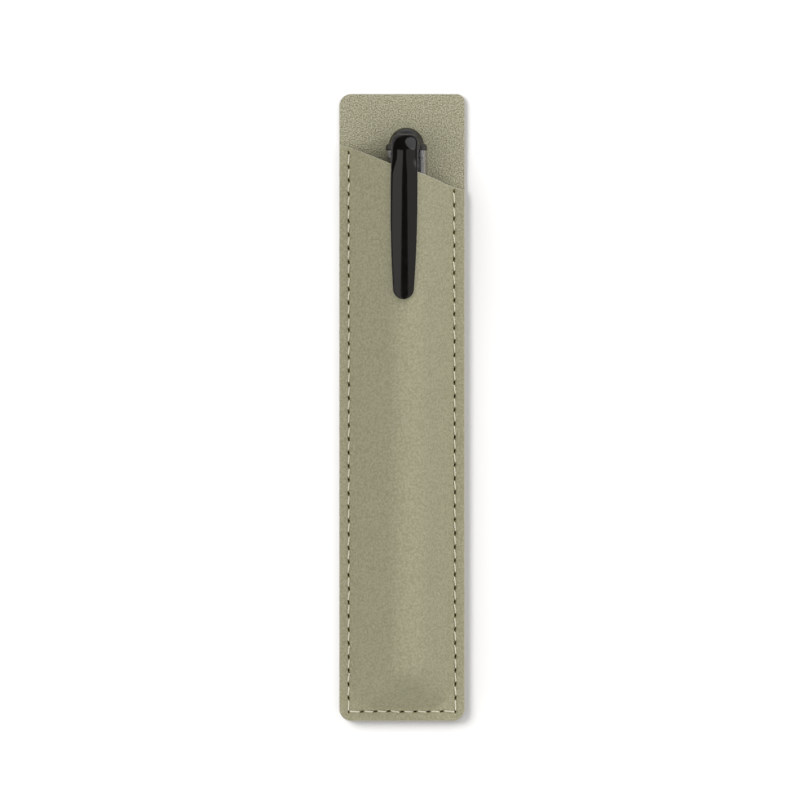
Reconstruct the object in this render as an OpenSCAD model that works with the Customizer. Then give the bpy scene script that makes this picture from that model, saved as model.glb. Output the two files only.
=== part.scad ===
// Single pen sleeve in soft synthetic leather, lying on its back, with a capped gel pen in its pocket.
// X runs across the sleeve, Y along it towards the mouth, and Z up from the table.
// The origin is the middle of the back panel's underside.

/* [Sleeve] */
// Length of the sleeve
sleeve_len = 160; // [144:1:190]
// Width of the sleeve
sleeve_w = 32; // [31:0.5:44]
// Radius of the sleeve's corners
corner_r = 3; // [1:0.5:6]
// Radius of the top right corner, which is cut a little tighter
tight_corner_r = 2; // [1:0.5:6]
// Thickness of the leather
leather_t = 0.9; // [0.6:0.1:1.3]
// Thickness of the lining cloth
lining_t = 0.4; // [0.2:0.1:0.7]
// Bare flap between the top edge and the middle of the mouth
flap_len = 18.6; // [17.4:0.2:24]
// Slant of the mouth, higher on the left
mouth_angle = 20.5; // [0:0.5:30]
// Radius where the front panel leaves the seam, inside the pocket
foot_r = 2; // [1.8:0.1:3]
// How far the pocket's bulge reaches into its bottom corners, where 1 is all the way
corner_reach = 0.84; // [0.75:0.01:0.95]

/* [Seam] */
// Distance from the edge to the line of stitches
stitch_inset = 2.4; // [1.8:0.1:3.2]
// Target length of one stitch
stitch_pitch = 3.5; // [2.5:0.1:5]
// Distance from the mouth's edge to the first needle hole
mouth_to_hole = 1.3; // [0.9:0.1:3]
// Diameter of a needle hole
needle_hole_d = 0.64; // [0.6:0.02:0.9]
// Width of the thread
thread_w = 0.44; // [0.3:0.02:0.5]
// How far a stitch stands above the leather
thread_rise = 0.28; // [0.15:0.01:0.4]
// Distance from the stitches to where the front panel starts to rise
foot_gap = 0.3; // [0.3:0.05:1]

/* [Pen in the pocket] */
// Distance from the sleeve's top edge to the top of the pen
pen_top_gap = 8.7; // [8:0.1:9.5]
// Distance from the sleeve's bottom edge to the tail of the pen
pen_tail_gap = 9.7; // [8.5:0.1:14]
// Distance from the middle of the sleeve to the middle of the pen
pen_offset = 1.1; // [-1.5:0.1:1.5]
// Roll of the pen about its own axis
pen_roll = -4.5; // [-8:0.5:8]
// Gap between the pen and the lining above and beside it
pocket_clear = 0.25; // [0.2:0.05:0.5]
// Gap between the pen and the lining that it lies on
floor_clear = 0.15; // [0.1:0.05:0.3]

/* [Cap] */
// Outer diameter of the cap
cap_d = 10.6; // [10.4:0.1:12]
// Wall of the cap
cap_wall = 0.7; // [0.5:0.05:0.7]
// Length of the cap's clear tube
cap_tube_len = 58; // [54:0.5:60]
// Diameter of the domed top
dome_d = 9.2; // [8.6:0.1:10]
// Height of the dome above its shoulder
dome_h = 4.1; // [3.6:0.1:4.3]
// Height of the rounded shoulder between the dome and the tube
shoulder_h = 1.8; // [1.4:0.1:2.2]
// Diameter of the stem inside the tube
stem_d = 7.7; // [6:0.1:8.2]
// Length of the stem inside the tube
stem_len = 9.4; // [9:0.1:11]
// Diameter of the socket that the writing point stands in
tip_socket_d = 3.6; // [3.4:0.1:4.5]
// Depth of that socket, with its seal
tip_socket_depth = 3; // [2.6:0.1:4]
// Thickness of the soft seal at the bottom of the socket
seal_t = 1; // [0.6:0.1:1.2]

/* [Clip] */
// Length of the clip from its root to its tip
clip_len = 41.75; // [34:0.25:46]
// Width of the clip
clip_w = 6.92; // [5:0.02:7.4]
// How much narrower the clip is where its round tip begins
clip_taper = 1.56; // [0:0.02:2]
// Thickness of the clip in its middle
clip_t = 1.5; // [1.2:0.1:2]
// Radius of the clip's arched outer face, seen from its end
clip_crown_r = 8; // [6:0.5:20]
// Gap between the tip of the clip and the leather under it
clip_clear = 0.15; // [0.1:0.05:0.4]
// How far the tip stands out from the underside of the clip
clip_nub = 0.3; // [0.1:0.05:0.5]

/* [Barrel and point] */
// Outer diameter of the barrel
barrel_d = 10.2; // [10:0.1:10.4]
// Bore of the barrel behind the grip
barrel_bore_d = 7.8; // [7:0.1:8.6]
// Outer diameter of the barrel's neck under the grip
neck_d = 7.4; // [7:0.1:7.8]
// Bore of the neck
neck_bore_d = 6.2; // [6:0.1:6.4]
// Outer diameter of the rubber grip
grip_d = 8.8; // [8.4:0.1:8.8]
// Number of rings moulded into the grip
grip_rings = 9; // [3:1:12]
// Length of the nose cone in front of the neck
nose_len = 12.1; // [11:0.1:13]
// Diameter at the front of the nose cone
nose_tip_d = 4.6; // [4.4:0.1:5.4]
// Length of the spigot that holds the nose cone in the neck
spigot_len = 5; // [3:0.5:6]
// How far the nib's holder stands out of the nose cone
holder_out = 1.5; // [1:0.1:1.8]
// How far the nib stands out of its holder
nib_out = 2.55; // [2:0.05:3]

/* [Refill] */
// Outer diameter of the ink tube
refill_d = 5.4; // [5:0.1:5.6]
// Bore of the ink tube
refill_bore_d = 4; // [3.4:0.1:4.4]
// Length of the ink in the tube
ink_len = 70; // [10:1:80]
// Length of the grease plug behind the ink
grease_len = 4; // [2:0.5:8]
// Diameter of the ball that writes
ball_d = 0.5; // [0.38:0.02:0.7]

/* [Hidden] */
$fn = 64;
eps = 0.02;
fit_gap = 0.02;
arc_steps = 12;
foot_steps = 5;
far = 400;

leather_color = [0.61, 0.60, 0.50];
lining_color = [0.63, 0.62, 0.52];
thread_color = [0.85, 0.83, 0.72];
black_color = [0.06, 0.06, 0.06];
clear_color = [0.85, 0.88, 0.90, 0.35];
rubber_color = [0.09, 0.09, 0.09];
steel_color = [0.72, 0.72, 0.74];
ink_color = [0.03, 0.03, 0.05];
grease_color = [0.85, 0.82, 0.70];

// Heights of the layers where all four lie flat at the seam
floor_z = leather_t + lining_t;
seam_z = 2 * floor_z;

// The seam's lines and the mouth
seam_x = sleeve_w / 2 - stitch_inset;
seam_y = -sleeve_len / 2 + stitch_inset;
mouth_y = sleeve_len / 2 - flap_len;
function mouth_at(x) = mouth_y - x * tan(mouth_angle);

// The pen's place in the pocket
cap_r = cap_d / 2;
barrel_r = barrel_d / 2;
pen_z = floor_z + floor_clear + cap_r;
pen_top_y = sleeve_len / 2 - pen_top_gap;
pen_len = sleeve_len - pen_top_gap - pen_tail_gap;
tail_y = pen_top_y - pen_len + barrel_r;

// The front panel is formed over the pen: a round crest, straight flanks and a small radius at the foot
crest_r = cap_r + pocket_clear;
foot_centre_z = floor_z + foot_r;
left_run = seam_x - foot_gap + pen_offset;
right_run = seam_x - foot_gap - pen_offset;
tail_run = tail_y - seam_y - foot_gap;
function corner_run(run) = corner_reach * (run + tail_run) / sqrt(2);
foot_drop = foot_centre_z - pen_z;
function flank_angle(run) = asin((crest_r + foot_r) / norm([run, foot_drop])) - atan2(foot_drop, run);

// One side of that curve, from the middle of the crest out to the foot, moved out by a layer
function half_curve(run, out) = let (a = flank_angle(run)) concat(
    [for (i = [0:arc_steps]) let (b = a * i / arc_steps)
        [(crest_r + out) * sin(b), pen_z + (crest_r + out) * cos(b)]],
    [for (i = [foot_steps:-1:0]) let (b = a * i / foot_steps)
        [run - (foot_r - out) * sin(b), foot_centre_z - (foot_r - out) * cos(b)]]);

// The flanks around the pen: the direction that each falls in, seen from above, and its run
flanks = [[0, right_run], [180, left_run], [-90, tail_run],
          [-45, corner_run(right_run)], [-135, corner_run(left_run)]];

// The groove that the lower thread is pulled into
groove_w = thread_w + 0.16;
groove_d = thread_rise + 2 * eps;

// Needle holes of each run, counted from the bottom corners
side_len_left = mouth_at(-seam_x) - mouth_to_hole - seam_y;
side_len_right = mouth_at(seam_x) - mouth_to_hole - seam_y;
left_stitches = round(side_len_left / stitch_pitch);
right_stitches = round(side_len_right / stitch_pitch);
end_stitches = round(2 * seam_x / stitch_pitch);

// Places along the pen, measured down from the top of its dome
tube_top = -dome_h - shoulder_h;
cap_rim = tube_top - cap_tube_len;
cap_seat_gap = 0.2;
point_gap = 0.15;
barrel_shoulder = cap_rim - cap_seat_gap;
stem_end = tube_top - stem_len;
seal_bottom = stem_end + tip_socket_depth - seal_t;
ball_top = seal_bottom - point_gap;
holder_tip = ball_top - nib_out;
nose_tip = holder_tip - holder_out;
neck_top = nose_tip - nose_len;
neck_len = neck_top - barrel_shoulder;
tail_centre = -pen_len + barrel_r;
tube_bore_r = cap_r - cap_wall;

// Places inside the nose cone and the refill
spigot_r = neck_bore_d / 2 - fit_gap;
refill_r = refill_d / 2;
refill_bore_r = refill_bore_d / 2;
refill_clear = 0.1;
holder_flange_t = 1.5;
holder_flange_top = neck_top + 2.4;
refill_top = holder_flange_top - holder_flange_t;
holder_plug_len = 6;
holder_tip_r = 1.2;
holder_front_r = 1.6;
holder_front_len = 3.6;
plug_depth = 6;
refill_socket_depth = 3.6;
refill_tail = tail_centre + plug_depth - refill_socket_depth + refill_clear;
ink_top = refill_top - holder_plug_len;
ink_channel_r = 0.6;
nib_shank_r = 1;
nib_shank_len = 4;

// Clip heights above the pen's axis
clip_root_drop = 1.9;
clip_root_y = -clip_root_drop;
clip_tip_y = clip_root_y - clip_len;
clip_under = crest_r + lining_t + leather_t + clip_clear;
clip_inner = clip_under + clip_nub;
clip_top = clip_inner + clip_t;
clip_tip_drop = 0.5;
crown_margin = 0.2;
hood_len = 5.2;
hood_base = 4;
hood_root = 2;
hood_fillet = 1;
tip_edge = 1.2;
nub_len = 3.4;
nub_ramp = 2;
taper_start = 17.4;

// Outline of the whole sleeve, as it is die-cut
module sleeve_blank() {
    half_w = sleeve_w / 2;
    half_l = sleeve_len / 2;
    r = [corner_r, corner_r, tight_corner_r, corner_r];
    sx = [-1, 1, 1, -1];
    sy = [-1, -1, 1, 1];
    start = [180, 270, 0, 90];
    polygon([for (k = [0:3], i = [0:8]) let (a = start[k] + 90 * i / 8)
        [sx[k] * (half_w - r[k]) + r[k] * cos(a), sy[k] * (half_l - r[k]) + r[k] * sin(a)]]);
}

// Outline of the front, cut off along the slanted mouth
module pocket_blank() {
    difference() {
        sleeve_blank();
        translate([0, mouth_y])
            rotate(-mouth_angle)
                translate([-sleeve_len, 0])
                    square([2 * sleeve_len, sleeve_len]);
    }
}

module needle_holes() {
    for (i = [0:left_stitches])
        translate([-seam_x, seam_y + i * side_len_left / left_stitches, -1])
            cylinder(d = needle_hole_d, h = seam_z + 2);
    for (i = [0:right_stitches])
        translate([seam_x, seam_y + i * side_len_right / right_stitches, -1])
            cylinder(d = needle_hole_d, h = seam_z + 2);
    for (i = [1:end_stitches - 1])
        translate([-seam_x + i * 2 * seam_x / end_stitches, seam_y, -1])
            cylinder(d = needle_hole_d, h = seam_z + 2);
}

// Everything under the front's surface, moved out by a layer, from its lower limit upwards
module under_skin(out, bottom) {
    intersection_for(flank = flanks)
        translate([pen_offset, tail_y, 0])
            rotate([90, 0, flank[0]])
                linear_extrude(2 * far, center = true)
                    polygon(concat([[-far, bottom], [-far, pen_z + crest_r + out]],
                        half_curve(flank[1], out),
                        [[far, floor_z + out], [far, bottom]]));
}

module front_layer(inner, outer) {
    difference() {
        intersection() {
            linear_extrude(far)
                pocket_blank();
            difference() {
                under_skin(outer, floor_z);
                under_skin(inner, floor_z - 1);
            }
        }
        needle_holes();
    }
}

module back_panel() {
    color(leather_color)
        difference() {
            linear_extrude(leather_t)
                sleeve_blank();
            needle_holes();
            translate([-seam_x - groove_w / 2, seam_y - groove_w / 2, -1])
                cube([groove_w, side_len_left + groove_w, 1 + groove_d]);
            translate([seam_x - groove_w / 2, seam_y - groove_w / 2, -1])
                cube([groove_w, side_len_right + groove_w, 1 + groove_d]);
            translate([-seam_x, seam_y - groove_w / 2, -1])
                cube([2 * seam_x, groove_w, 1 + groove_d]);
        }
}

module back_lining() {
    color(lining_color)
        difference() {
            translate([0, 0, leather_t])
                linear_extrude(lining_t)
                    sleeve_blank();
            needle_holes();
        }
}

module front_lining() {
    color(lining_color)
        front_layer(0, lining_t);
}

module front_panel() {
    color(leather_color)
        front_layer(lining_t, lining_t + leather_t);
}

// A run of stitches seen from the side, dipping into every needle hole down to where the two threads lock.
// The surface that it lies on is at height 0, and it locks at the height given.
module stitch_profile(count, pitch, lock) {
    leg = thread_w / 2;
    dip = 0.08;
    slope = 0.5;
    upper = [for (i = [0:count - 1]) each
        [[i * pitch, -dip], [i * pitch + slope, thread_rise], [(i + 1) * pitch - slope, thread_rise]]];
    lower = [for (i = [count:-1:0]) each concat(
        i < count ? [[i * pitch + leg, 0]] : [],
        [[i * pitch + leg, lock], [i * pitch - leg, lock]],
        i > 0 ? [[i * pitch - leg, 0]] : [])];
    polygon(concat([[-leg, -dip]], upper, [[count * pitch, -dip], [count * pitch + leg, -dip]], lower));
}

module stitch_run(count, length, lock) {
    translate([-thread_w / 2, 0, 0])
        rotate([90, 0, 90])
            linear_extrude(thread_w)
                stitch_profile(count, length / count, lock);
}

// All three runs of one thread: up the left side, up the right side and along the bottom
module seam_thread(lock) {
    translate([-seam_x, seam_y, 0])
        stitch_run(left_stitches, side_len_left, lock);
    translate([seam_x, seam_y, 0])
        stitch_run(right_stitches, side_len_right, lock);
    translate([-seam_x, seam_y, 0])
        rotate([0, 0, -90])
            stitch_run(end_stitches, 2 * seam_x, lock);
}

module needle_thread() {
    color(thread_color)
        translate([0, 0, seam_z])
            seam_thread(floor_z - seam_z);
}

// The lower thread lies in a pressed groove, so the sleeve rests flat on its leather
module bobbin_thread() {
    color(thread_color)
        translate([0, 0, groove_d])
            mirror([0, 0, 1])
                seam_thread(groove_d - floor_z);
}

// Puts a piece of the pen where it lies: the pen's own Y is its axis and its own Z the clip's side
module in_pocket() {
    translate([pen_offset, pen_top_y, pen_z])
        rotate([0, pen_roll, 0])
            children();
}

// A turned piece: its profile is drawn as radius and place along the pen
module turned() {
    rotate([-90, 0, 0])
        rotate_extrude()
            children();
}

module cap_tube() {
    lead_in = 0.3;
    edge = 0.1;
    color(clear_color)
        in_pocket()
            turned()
                polygon([[tube_bore_r, tube_top], [tube_bore_r, cap_rim + 2 * lead_in],
                         [tube_bore_r + lead_in, cap_rim], [cap_r - edge, cap_rim],
                         [cap_r, cap_rim + edge], [cap_r, tube_top]]);
}

module plug_body() {
    bead_r = tube_bore_r - fit_gap;
    bead_h = 0.5;
    bead_places = [tube_top - 2.2, stem_end + 1.8];
    shoulder_edge = shoulder_h / 2;
    turned()
        difference() {
            union() {
                intersection() {
                    translate([0, -dome_d / 2])
                        circle(dome_d / 2);
                    translate([0, tube_top + shoulder_edge])
                        square([dome_d, dome_d]);
                }
                translate([0, tube_top])
                    square([cap_r - shoulder_edge, shoulder_h]);
                intersection() {
                    translate([cap_r - shoulder_edge, tube_top + shoulder_edge])
                        circle(shoulder_edge);
                    translate([cap_r - shoulder_h, tube_top])
                        square([shoulder_h, shoulder_h]);
                }
                translate([0, stem_end])
                    square([stem_d / 2, stem_len + eps]);
                for (place = bead_places)
                    translate([0, place])
                        square([bead_r, bead_h]);
            }
            translate([0, stem_end - 1])
                square([tip_socket_d / 2, tip_socket_depth + 1]);
        }
}

// Half the clip's width at a place along it: straight from the root, then drawn in towards the round tip
tip_round = (clip_w - clip_taper) / 2;
taper_len = clip_len - taper_start - tip_round;
function clip_half(y) = let (t = max(0, clip_root_y - taper_start - y) / taper_len)
    clip_w / 2 - clip_taper / 2 * t * t;

module clip_plan() {
    tip_centre = clip_tip_y + tip_round;
    edge = [for (i = [0:8]) let (y = clip_root_y - taper_start - taper_len * i / 8) [clip_half(y), y]];
    tip = [for (i = [1:11]) let (a = -180 * i / 12) [tip_round * cos(a), tip_centre + tip_round * sin(a)]];
    polygon(concat([[clip_w / 2, clip_root_y]], edge, tip,
        [for (i = [8:-1:0]) [-edge[i][0], edge[i][1]]], [[-clip_w / 2, clip_root_y]]));
}

// Side view of the clip: a rounded hood over the dome's side, the arm, and the tip with its nub
module clip_side() {
    hood_y = clip_root_y - hood_len;
    hood_rise = clip_top + crown_margin - hood_base;
    tip_top = clip_top + crown_margin - clip_tip_drop;
    nub_y = clip_tip_y + nub_len;
    hood = [for (a = [0:9:90]) [hood_y + hood_len * cos(a), hood_base + hood_rise * sin(a)]];
    tip = [for (a = [0:15:90])
        [clip_tip_y + tip_edge * (1 - sin(a)), tip_top - (tip_top - clip_inner) * (1 - cos(a))]];
    nub = [[clip_tip_y + tip_edge / 2, clip_under], [nub_y, clip_under], [nub_y + nub_ramp, clip_inner]];
    web = [for (a = [90:-15:0])
        [tube_top - hood_fillet * (1 - cos(a)), clip_inner - hood_fillet * (1 - sin(a))]];
    polygon(concat([[clip_root_y, hood_root]], hood, tip, nub, web, [[tube_top, hood_root]]));
}

// The arched outer face, tilted so that it follows the arm down to the tip
module clip_crown() {
    tilt = atan(clip_tip_drop / clip_len);
    translate([0, clip_root_y, clip_top - clip_crown_r])
        rotate([90 + tilt, 0, 0])
            cylinder(r = clip_crown_r, h = 3 * clip_len, center = true);
}

module clip_arm() {
    intersection() {
        linear_extrude(far, center = true)
            clip_plan();
        translate([-clip_w, 0, 0])
            rotate([90, 0, 90])
                linear_extrude(2 * clip_w)
                    clip_side();
        clip_crown();
    }
}

module clip_plug() {
    color(black_color)
        in_pocket()
            union() {
                plug_body();
                clip_arm();
            }
}

module tip_seal() {
    color(rubber_color)
        in_pocket()
            turned()
                translate([0, seal_bottom])
                    square([tip_socket_d / 2 - fit_gap, seal_t]);
}

module barrel() {
    bore_step = 2;
    edge = 0.3;
    color(clear_color)
        in_pocket()
            turned()
                polygon([[neck_bore_d / 2, neck_top], [neck_bore_d / 2, barrel_shoulder - bore_step],
                         [barrel_bore_d / 2, barrel_shoulder - 2 * bore_step],
                         [barrel_bore_d / 2, tail_centre], [barrel_r, tail_centre],
                         [barrel_r, barrel_shoulder - edge], [barrel_r - edge, barrel_shoulder],
                         [neck_d / 2, barrel_shoulder], [neck_d / 2, neck_top]]);
}

module grip() {
    bore_r = neck_d / 2 + fit_gap;
    ring_pitch = neck_len / (grip_rings + 1);
    ring_r = 0.6;
    ring_depth = 0.3;
    color(rubber_color)
        in_pocket()
            turned()
                difference() {
                    translate([bore_r, barrel_shoulder])
                        square([grip_d / 2 - bore_r, neck_len]);
                    for (i = [1:grip_rings])
                        translate([grip_d / 2 + ring_r - ring_depth, barrel_shoulder + i * ring_pitch])
                            circle(ring_r);
                }
}

module nose_cone() {
    chamber_r = refill_r + refill_clear;
    front_bore_r = holder_front_r + refill_clear;
    base_r = grip_d / 2 - 0.2;
    rim_len = 1.5;
    edge = 0.4;
    front_seat = nose_tip - holder_front_len + refill_clear;
    color(black_color)
        in_pocket()
            turned()
                polygon([[chamber_r, neck_top - spigot_len], [spigot_r, neck_top - spigot_len],
                         [spigot_r, neck_top], [base_r, neck_top], [base_r - edge, neck_top + rim_len],
                         [nose_tip_d / 2, nose_tip - edge], [nose_tip_d / 2 - edge, nose_tip],
                         [front_bore_r, nose_tip], [front_bore_r, front_seat],
                         [chamber_r, holder_flange_top + refill_clear]]);
}

module end_plug() {
    plug_r = barrel_bore_d / 2 - fit_gap;
    color(black_color)
        in_pocket()
            turned()
                difference() {
                    union() {
                        intersection() {
                            translate([0, tail_centre])
                                circle(barrel_r);
                            translate([0, tail_centre - 2 * barrel_r])
                                square([2 * barrel_r, 2 * barrel_r]);
                        }
                        translate([0, tail_centre - eps])
                            square([plug_r, plug_depth + eps]);
                    }
                    translate([0, tail_centre + plug_depth - refill_socket_depth])
                        square([refill_r + fit_gap, 2 * refill_socket_depth]);
                }
}

module refill_tube() {
    color(clear_color)
        in_pocket()
            turned()
                translate([refill_bore_r, refill_tail])
                    square([refill_r - refill_bore_r, refill_top - refill_tail]);
}

module nib_holder() {
    shank_bottom = holder_tip - nib_shank_len;
    edge = 0.3;
    color(clear_color)
        in_pocket()
            turned()
                polygon([[ink_channel_r, ink_top], [refill_bore_r - fit_gap, ink_top],
                         [refill_bore_r - fit_gap, refill_top], [refill_r, refill_top],
                         [refill_r, holder_flange_top], [refill_r - edge, holder_flange_top],
                         [holder_front_r, nose_tip - holder_front_len], [holder_front_r, nose_tip],
                         [holder_tip_r + fit_gap, holder_tip], [nib_shank_r + fit_gap, holder_tip],
                         [nib_shank_r + fit_gap, shank_bottom], [ink_channel_r, shank_bottom]]);
}

module nib() {
    ball_clear = 0.01;
    lip_t = 0.12;
    feed_r = 0.12;
    straight_len = 0.5;
    lip_y = ball_top - 0.4 * ball_d;
    color(steel_color)
        in_pocket()
            turned()
                difference() {
                    polygon([[0, holder_tip - nib_shank_len], [nib_shank_r, holder_tip - nib_shank_len],
                             [nib_shank_r, holder_tip + straight_len], [ball_d / 2 + lip_t, lip_y],
                             [0, lip_y]]);
                    translate([0, ball_top - ball_d / 2])
                        circle(ball_d / 2 + ball_clear);
                    translate([0, holder_tip - 2 * nib_shank_len])
                        square([feed_r, 2 * nib_shank_len + ball_top - holder_tip]);
                }
}

module ball() {
    color(steel_color)
        in_pocket()
            translate([0, ball_top - ball_d / 2, 0])
                sphere(d = ball_d);
}

module gel_ink() {
    color(ink_color)
        in_pocket()
            turned()
                translate([0, ink_top - ink_len])
                    square([refill_bore_r - fit_gap, ink_len - fit_gap]);
}

module grease_plug() {
    color(grease_color)
        in_pocket()
            turned()
                translate([0, ink_top - ink_len - grease_len])
                    square([refill_bore_r - fit_gap, grease_len]);
}

back_panel();
back_lining();
front_lining();
front_panel();
needle_thread();
bobbin_thread();
cap_tube();
clip_plug();
tip_seal();
barrel();
grip();
nose_cone();
end_plug();
refill_tube();
nib_holder();
nib();
ball();
gel_ink();
grease_plug();
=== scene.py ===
"""Looks of a single pen sleeve in soft synthetic leather, with a capped gel pen in its pocket.

Shapes are worked out in millimetres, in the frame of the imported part, and become metres when a
mesh is made.
"""

import math

import bpy
import numpy as np
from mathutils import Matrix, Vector
from mathutils.geometry import delaunay_2d_cdt

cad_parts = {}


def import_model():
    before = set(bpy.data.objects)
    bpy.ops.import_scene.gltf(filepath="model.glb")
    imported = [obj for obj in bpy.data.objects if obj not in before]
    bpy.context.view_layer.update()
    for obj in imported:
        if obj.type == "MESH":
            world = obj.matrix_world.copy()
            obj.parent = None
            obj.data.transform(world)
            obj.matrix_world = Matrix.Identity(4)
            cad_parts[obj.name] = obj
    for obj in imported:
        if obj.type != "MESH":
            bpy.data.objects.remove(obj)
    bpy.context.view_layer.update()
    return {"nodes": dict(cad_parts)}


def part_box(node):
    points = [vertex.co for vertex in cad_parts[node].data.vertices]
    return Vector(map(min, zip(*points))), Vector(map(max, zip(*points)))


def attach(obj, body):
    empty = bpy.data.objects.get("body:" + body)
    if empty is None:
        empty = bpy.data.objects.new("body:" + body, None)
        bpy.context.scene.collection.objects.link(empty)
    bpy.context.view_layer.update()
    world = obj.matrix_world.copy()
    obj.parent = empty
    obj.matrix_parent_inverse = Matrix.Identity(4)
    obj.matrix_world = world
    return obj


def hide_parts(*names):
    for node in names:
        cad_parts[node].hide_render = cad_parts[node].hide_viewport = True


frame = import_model()

MM = 0.001


def box_mm(node):
    """Lowest and highest corner of a CAD node in millimetres, rounded clear of its mesh's error."""
    low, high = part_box(node)
    return np.round(np.array(low) / MM, 2), np.round(np.array(high) / MM, 2)


# Sizes that the frame gives
half_w, half_l, leather_t = box_mm("back_panel")[1]
floor_z = box_mm("back_lining")[1][2]
lining_t = floor_z - leather_t
seam_z = 2 * floor_z
tube_low, tube_high = box_mm("cap_tube")
pen_x, _, pen_z = np.round((tube_low + tube_high) / 2, 2)
cap_r = round((tube_high[0] - tube_low[0]) / 2, 2)
tube_top_y = tube_high[1]
pen_top_y = box_mm("clip_plug")[1][1]
clip_tip_y = box_mm("clip_plug")[0][1]
tail_y = box_mm("barrel")[0][1]
crest_r = box_mm("front_lining")[1][2] - lining_t - pen_z

# The sleeve's own driving sizes
CORNER_R = 3
TIGHT_CORNER_R = 2
MOUTH_ANGLE = 20.5
STITCH_INSET = 2.4
STITCH_PITCH = 3.5
MOUTH_TO_LEFT_HOLE = 1.5
MOUTH_TO_RIGHT_HOLE = 1.0
FOOT_R = 2
FOOT_GAP = 0.3
CORNER_SQUARENESS = 4
EDGE_R = 0.22

# How far the right seam leans in for each millimetre along it
RIGHT_SEAM_LEAN = -0.0025

# Needle holes in the leather, pulled long by the stitches, and in the linings
HOLE_WIDTH = 0.5
HOLE_LENGTH = 1.85
HOLE_LEAN = 7
CORNER_HOLE = 1.05
LAST_HOLE = 1.2
LINING_HOLE = 0.6

# How far the needle strays aside: its usual share, and the most that it does
NEEDLE_WANDER = 0.035
WANDER_MOST = 0.08

# Along the seam: width of the dip, how it deepens at each hole, place and width of the puffs beside
# it, how they sink at each hole, and where both fade out
DIP_WIDTH = 0.5
DIP_STEADY, DIP_BEAT = 0.8, 0.3
PUFF_PLACE = 1.15
PUFF_WIDTH = 0.5
PUFF_BEAT = 0.5
RUN_FADE = 0.9

# Unevenness of the front: its height, where it starts beside the pen, and over what length it fades
RIPPLE_H = 0.07
RIPPLE_START = 4.5
RIPPLE_FADE = 2.5

seam_x = half_w - STITCH_INSET
seam_y = -half_l + STITCH_INSET
mouth_slope = math.tan(math.radians(MOUTH_ANGLE))
mouth_y = box_mm("front_panel")[1][1] - half_w * mouth_slope


def mouth_at(x):
    """Where the mouth's edge lies along the sleeve, at a place across it."""
    return mouth_y - x * mouth_slope


def smooth(t):
    """0 below 0, 1 above 1, and a soft step between."""
    t = np.clip(t, 0, 1)
    return t * t * (3 - 2 * t)


# The seam

class Run:
    """A straight row of stitches, whose needle wandered a little and whose holes lie aslant."""

    def __init__(self, start, way, length, lean):
        self.start = np.array(start, float)
        self.way = np.array(way, float) / math.hypot(*way)
        self.side = np.array((-self.way[1], self.way[0]))
        self.length = length
        self.count = round(length / STITCH_PITCH)
        self.pitch = length / self.count
        self.slant = math.radians(lean)
        strays = chance.normal(0, NEEDLE_WANDER, self.count + 1)
        self.wander = np.clip(strays, -WANDER_MOST, WANDER_MOST)
        self.wander[[0, -1]] = 0

    def at(self, distance, aside=0.0):
        """The plan point at a distance along the run, and some way to its left."""
        return self.start + self.way * distance + self.side * aside

    def hole_length(self, i):
        """Length of one of its holes: shorter at a corner and at the mouth."""
        return CORNER_HOLE if i == 0 else LAST_HOLE if i == self.count else HOLE_LENGTH

    def places(self, plan):
        """How far along the run and how far aside each plan point lies."""
        offset = plan - self.start
        return offset @ self.way, offset @ self.side


chance = np.random.default_rng(11)
left_l = mouth_at(-seam_x) - MOUTH_TO_LEFT_HOLE - seam_y
right_l = mouth_at(seam_x) - MOUTH_TO_RIGHT_HOLE - seam_y
left_run = Run((-seam_x, seam_y), (0, 1), left_l, HOLE_LEAN)
right_run = Run((seam_x, seam_y), (RIGHT_SEAM_LEAN, 1), right_l, -HOLE_LEAN)
end_run = Run((-seam_x, seam_y), (1, 0), 2 * seam_x, HOLE_LEAN)
RUNS = [left_run, right_run, end_run]


class Hole:
    """A needle hole with round ends, pulled long along the seam."""

    def __init__(self, centre, angle, length, width):
        self.centre = centre
        self.length, self.width = length, width
        c, s = math.cos(angle), math.sin(angle)
        self.axes = np.array([[c, s], [-s, c]])

    def ring(self, grow, count=14):
        """Its outline, grown by a margin, as a loop of plan points."""
        radius = self.width / 2 + grow
        reach = (self.length - self.width) / 2
        turn = (np.arange(count) + 0.5) * 2 * math.pi / count
        along = radius * np.cos(turn) + reach * np.sign(np.cos(turn))
        loop = np.stack([along, radius * np.sin(turn)], 1)
        return self.centre + loop @ self.axes

    def distance(self, plan):
        """Distance of plan points from its outline, negative inside."""
        local = (plan - self.centre) @ self.axes.T
        over = np.maximum(np.abs(local[:, 0]) - (self.length - self.width) / 2, 0)
        return np.hypot(over, local[:, 1]) - self.width / 2

    def rounded(self, width):
        """The same hole where it is a plain round one."""
        return Hole(self.centre, 0, width, width)


def needle_holes():
    """Every needle hole of the seam in the leather, with the two corners counted once."""
    holes = []
    for run in RUNS:
        angle = math.atan2(run.way[1], run.way[0]) + run.slant
        for i in range(1, run.count) if run is end_run else range(run.count + 1):
            centre = run.at(i * run.pitch, run.wander[i])
            holes.append(Hole(centre, angle, run.hole_length(i), HOLE_WIDTH))
    return holes


HOLES = needle_holes()
ROUND_HOLES = [hole.rounded(LINING_HOLE) for hole in HOLES]


def seam_distance(plan):
    """Distance of plan points from the nearest row of stitches."""
    nearest = np.full(len(plan), np.inf)
    for run in RUNS:
        along, aside = run.places(plan)
        over = np.maximum(np.maximum(-along, along - run.length), 0)
        nearest = np.minimum(nearest, np.hypot(over, aside))
    return nearest


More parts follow.
